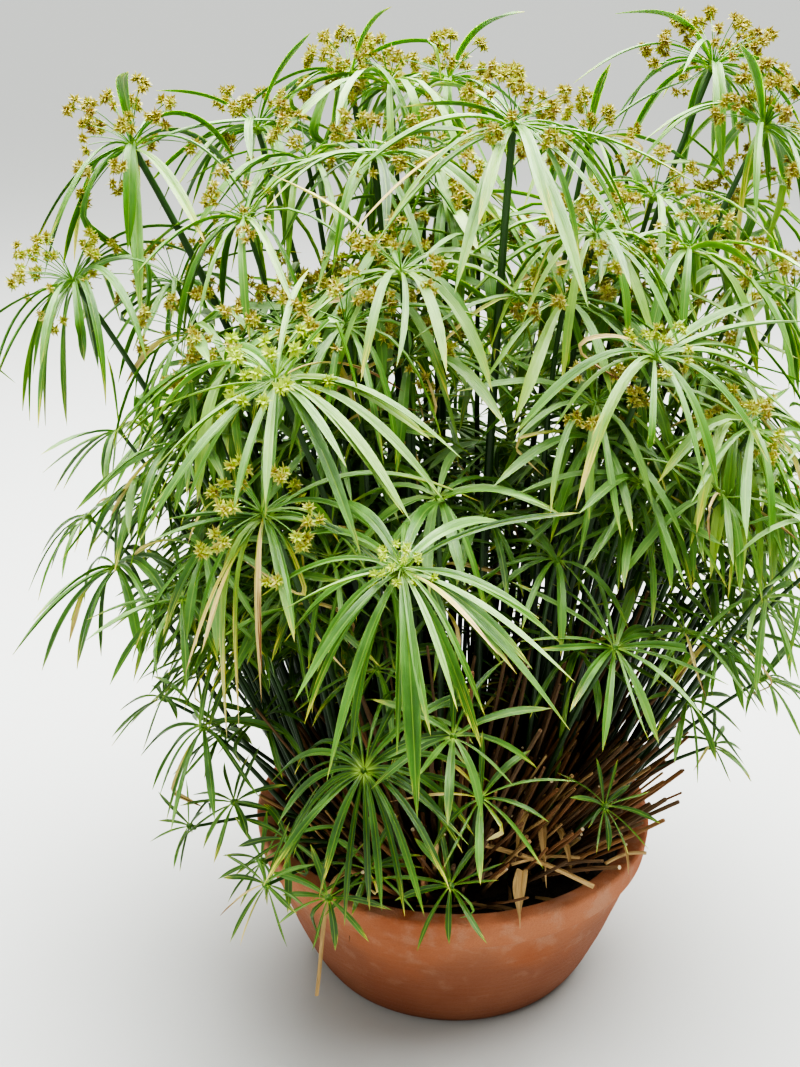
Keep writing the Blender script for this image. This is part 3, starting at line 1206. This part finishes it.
for party in range(PARTIES):
    leaf_skins, ray_skins, star_skins = [], [], []
    for member in range(party, len(between_heads), PARTIES):
        head = between_curves[member, 3]
        tall = head[2] - SOIL_LEVEL
        axis = unit(unit(head - between_curves[member, 2]) + (0, 0, max(0.8 - 1.3 * tall, 0)))
        look = look_between(member, head)
        leaf_skins += umbrella(head, axis, look, 500 + member, ROWS_BETWEEN, SMALL_SECTION)
        if tall > FLOWERS_ABOVE:
            flowers = (RAYS_BETWEEN, 0.064, 0.7, 600 + 2 * member)
            ray_skin, star_skin = flower_head(head, axis, *flowers, spikelets=SPIKELETS_BETWEEN)
            ray_skins.append(ray_skin)
            star_skins.append(star_skin)
    stems, sheaths = culms(between_curves[party::PARTIES], between_shades[party::PARTIES], 13, 7)
    piece(f"culms_between_{party + 1}", "stem", (stems, culm_green), (sheaths, husk_brown))
    piece(f"umbrellas_between_{party + 1}", "leaf", (joined(leaf_skins + ray_skins), leaf_green))
    piece(f"flowers_between_{party + 1}", "leaf", (joined(star_skins), bloom))

spear_heads = on_crown(SPEARS, 63, 0.9) * (1.25, 1.25, 1)
spear_heads[:, 2] += between_draw.uniform(0.06, 0.30, SPEARS)
spear_curves = np.array([rooted_curve(head) for head in spear_heads])
spear_swell = np.array((1.3, 1.15, 1.0, 0.95, 0.9, 0.9, 0.95, 1.2, 1.35, 1.3, 1.1, 0.75, 0.35))
spear_skin = tubes(cubic(spear_curves, 13), CULM_RADIUS * spear_swell, 8, 0.7, ribs=0.06)
piece("spears", "stem", (spear_skin, leaf_green))


# ---- The litter --------------------------------------------------------------------
# What has died and was not cleared away: an old culm that has fallen over the rim, broken
# sticks and a curled sheath on the crown, papery strips of sheath round the feet of the
# culms, and dead leaves on the soil.

FALLEN_RADIUS = 0.0036
FALLEN_ARCH = (0.22, 0.15)  # a place under its arch: metres out from the axis, and up
HUSKS = 110
DEAD_LEAVES = 26
STICK_BOW = (0, 0.004, 0.003)  # how far the sticks bend in their middle

# Sticks: one end, the other end, radius, shade from brown to straw.
STICKS = (
    ((0.040, -0.200, 0.283), (0.165, -0.220, 0.244), 0.0030, 1.00),
    ((0.186, -0.150, 0.226), (0.238, -0.120, 0.221), 0.0022, 0.85),
    ((0.070, -0.215, 0.268), (0.150, -0.190, 0.262), 0.0018, 0.75),
)

# Sheaths that have come loose at the front: the root, the direction by the compass and the
# rise in degrees, length, width, and turn from root to tip.
CURLS = (
    ((0.082, -0.226, 0.268), 262, -25, 0.072, 0.0170, 1.5),
    ((0.105, -0.175, 0.300), 275, 20, 0.085, 0.0110, 2.4),
    ((0.090, -0.165, 0.305), 240, 30, 0.070, 0.0090, -2.0),
    ((0.120, -0.170, 0.290), 300, 35, 0.075, 0.0080, 1.8),
    ((0.190, -0.130, 0.262), 330, 10, 0.070, 0.0100, -1.4),
)


def husks(count, seed):
    """Strips of dead sheath that stand on the dome and curl over."""
    draw = np.random.default_rng(seed)
    root = on_crown(count, seed, 1.0)
    axis = unit(root - (0, 0, SOIL_LEVEL - FAN_DEPTH))
    compass = np.arctan2(root[:, 1], root[:, 0]) + draw.normal(0, 0.7, count)
    return blades(
        root - axis * 0.004,
        axis,
        square_to(axis, level_places(1, compass)),
        outline(9, 0.7, 0.3, 0.7),
        SMALL_SECTION,
        lift=np.radians(draw.uniform(35, 80, count)),
        length=draw.uniform(0.035, 0.12, count),
        width=draw.uniform(0.005, 0.012, count),
        hang=draw.uniform(0.8, 4.5, count),
        sway=draw.normal(0, 0.7, count),
        fold_at=draw.uniform(0.3, 0.7, count),
        fold=np.radians(draw.uniform(0, 60, count)),
        roll=draw.normal(0, 1.4, count),
        shade=draw.random(count) ** 1.4,
    )


def soil_leaves(count, seed):
    """Dead leaves that lie on the soil round the crown."""
    draw = np.random.default_rng(seed)
    compass = draw.uniform(0, 2 * math.pi, count)
    root = level_places(draw.uniform(0.17, 0.22, count), compass)
    root[:, 2] = soil_top(root) + 0.003
    along = compass + math.pi / 2 + draw.normal(0, 0.4, count)
    return blades(
        root,
        UPRIGHT,
        level_places(1, along),
        outline(9, 0.7, 0.3, 0.7),
        SMALL_SECTION,
        lift=0.02,
        length=draw.uniform(0.03, 0.09, count),
        width=draw.uniform(0.004, 0.009, count),
        hang=0.04,
        sway=draw.normal(0.6, 0.4, count),
        roll=draw.normal(0, 0.3, count),
        shade=draw.random(count),
    )


def curls():
    """The loose sheaths of the table above, bent over and twisted."""
    way, rise, length, width, turn = np.array([curl[1:] for curl in CURLS]).T
    return blades(
        np.array([curl[0] for curl in CURLS]),
        UPRIGHT,
        level_places(1, np.radians(way)),
        outline(16, 0.75, 0.25, 0.75),
        BROAD_SECTION,
        lift=np.radians(rise),
        length=length,
        width=width,
        hang=3.0,
        sway=0.5,
        roll=turn,
        shade=0.85,
    )


# The solid's rings are sorted by their angle about a place under its arch. The sixth ring
# lies on the rim: there one curve ends and the next begins.
corners = solid_corners("dry_stem")
out = np.linalg.norm(corners[:, :2], axis=1) - FALLEN_ARCH[0]
angle = np.arctan2(corners[:, 2] - FALLEN_ARCH[1], out)
middles = corners[(-angle).argsort()].reshape(-1, 6, 3).mean(1)
halves = np.array([curve_through(middles[:6]), curve_through(middles[5:])])
fallen_line = np.delete(cubic(halves, 16).reshape(1, -1, 3), 16, 1)
fallen_radius = FALLEN_RADIUS * np.linspace(1.0, 0.6, fallen_line.shape[1])
fallen_skin = tubes(fallen_line, fallen_radius, 9, 0.9, ribs=0.12)
fallen = piece("fallen_culm", "straw", (fallen_skin, dead))
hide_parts("dry_stem")

near, far, radius, shade = (np.array(column) for column in zip(*STICKS))
share = np.linspace(0, 1, 8)[:, None]
line = near[:, None] * (1 - share) + far[:, None] * share + STICK_BOW * np.sin(share * math.pi)
piece("sticks", "dead_stalk", (tubes(line, radius[:, None], 8, shade, ribs=0.1), husk_brown))

strips = joined([husks(HUSKS, 71), soil_leaves(DEAD_LEAVES, 72), curls()])
piece("husks", "dead_stalk", (strips, husk_brown))


# ---- The floor and the light -------------------------------------------------------
# A plain pale floor, a soft light over the plant and a small one in front on the left, and
# all round them an even sky with a very wide, far sun, which lights the whole floor.

FLOOR_SIZE = 240.0
FLOOR_PALE = (0.50, 0.51, 0.49, 1)
SKY_PALE = (0.98, 1.0, 0.98, 1)
SKY_STRENGTH = 0.42
PLANT_MIDDLE = (0, 0, 0.6)

floor_mesh = bpy.data.meshes.new("floor")
floor_corners = np.array([(-1, -1, 0), (1, -1, 0), (1, 1, 0), (-1, 1, 0)]) * FLOOR_SIZE / 2
floor_mesh.from_pydata(floor_corners.tolist(), [], [(0, 1, 2, 3)])
floor_paint, _, floor_shader = new_material("pale_floor")
floor_shader.inputs["Base Color"].default_value = FLOOR_PALE
floor_shader.inputs["Roughness"].default_value = 0.9
floor_mesh.materials.append(floor_paint)
floor = bpy.data.objects.new("floor", floor_mesh)
bpy.context.scene.collection.objects.link(floor)


def lamp(name, kind, place, energy):
    """A light at a place, turned towards the middle of the plant."""
    data = bpy.data.lights.new(name, kind)
    data.energy = energy
    made = bpy.data.objects.new(name, data)
    made.location = place
    right, away, up = np.subtract(PLANT_MIDDLE, place)
    made.rotation_euler = (math.atan2(math.hypot(right, away), -up), 0, math.atan2(-right, away))
    bpy.context.scene.collection.objects.link(made)
    return data


lamp("light_far", "SUN", (0.5, 0.9, 3.5), 2.9).angle = math.radians(75)
lamp("light_above", "AREA", (0.2, 0.8, 3.2), 430).size = 4.0
lamp("light_front", "AREA", (-1.6, -2.4, 2.4), 24).size = 1.8
world = bpy.data.worlds.new("pale_sky")
world.use_nodes = True
sky = world.node_tree.nodes["Background"]
sky.inputs["Color"].default_value = SKY_PALE
sky.inputs["Strength"].default_value = SKY_STRENGTH
bpy.context.scene.world = world
bpy.context.scene.view_settings.look = "AgX - High Contrast"
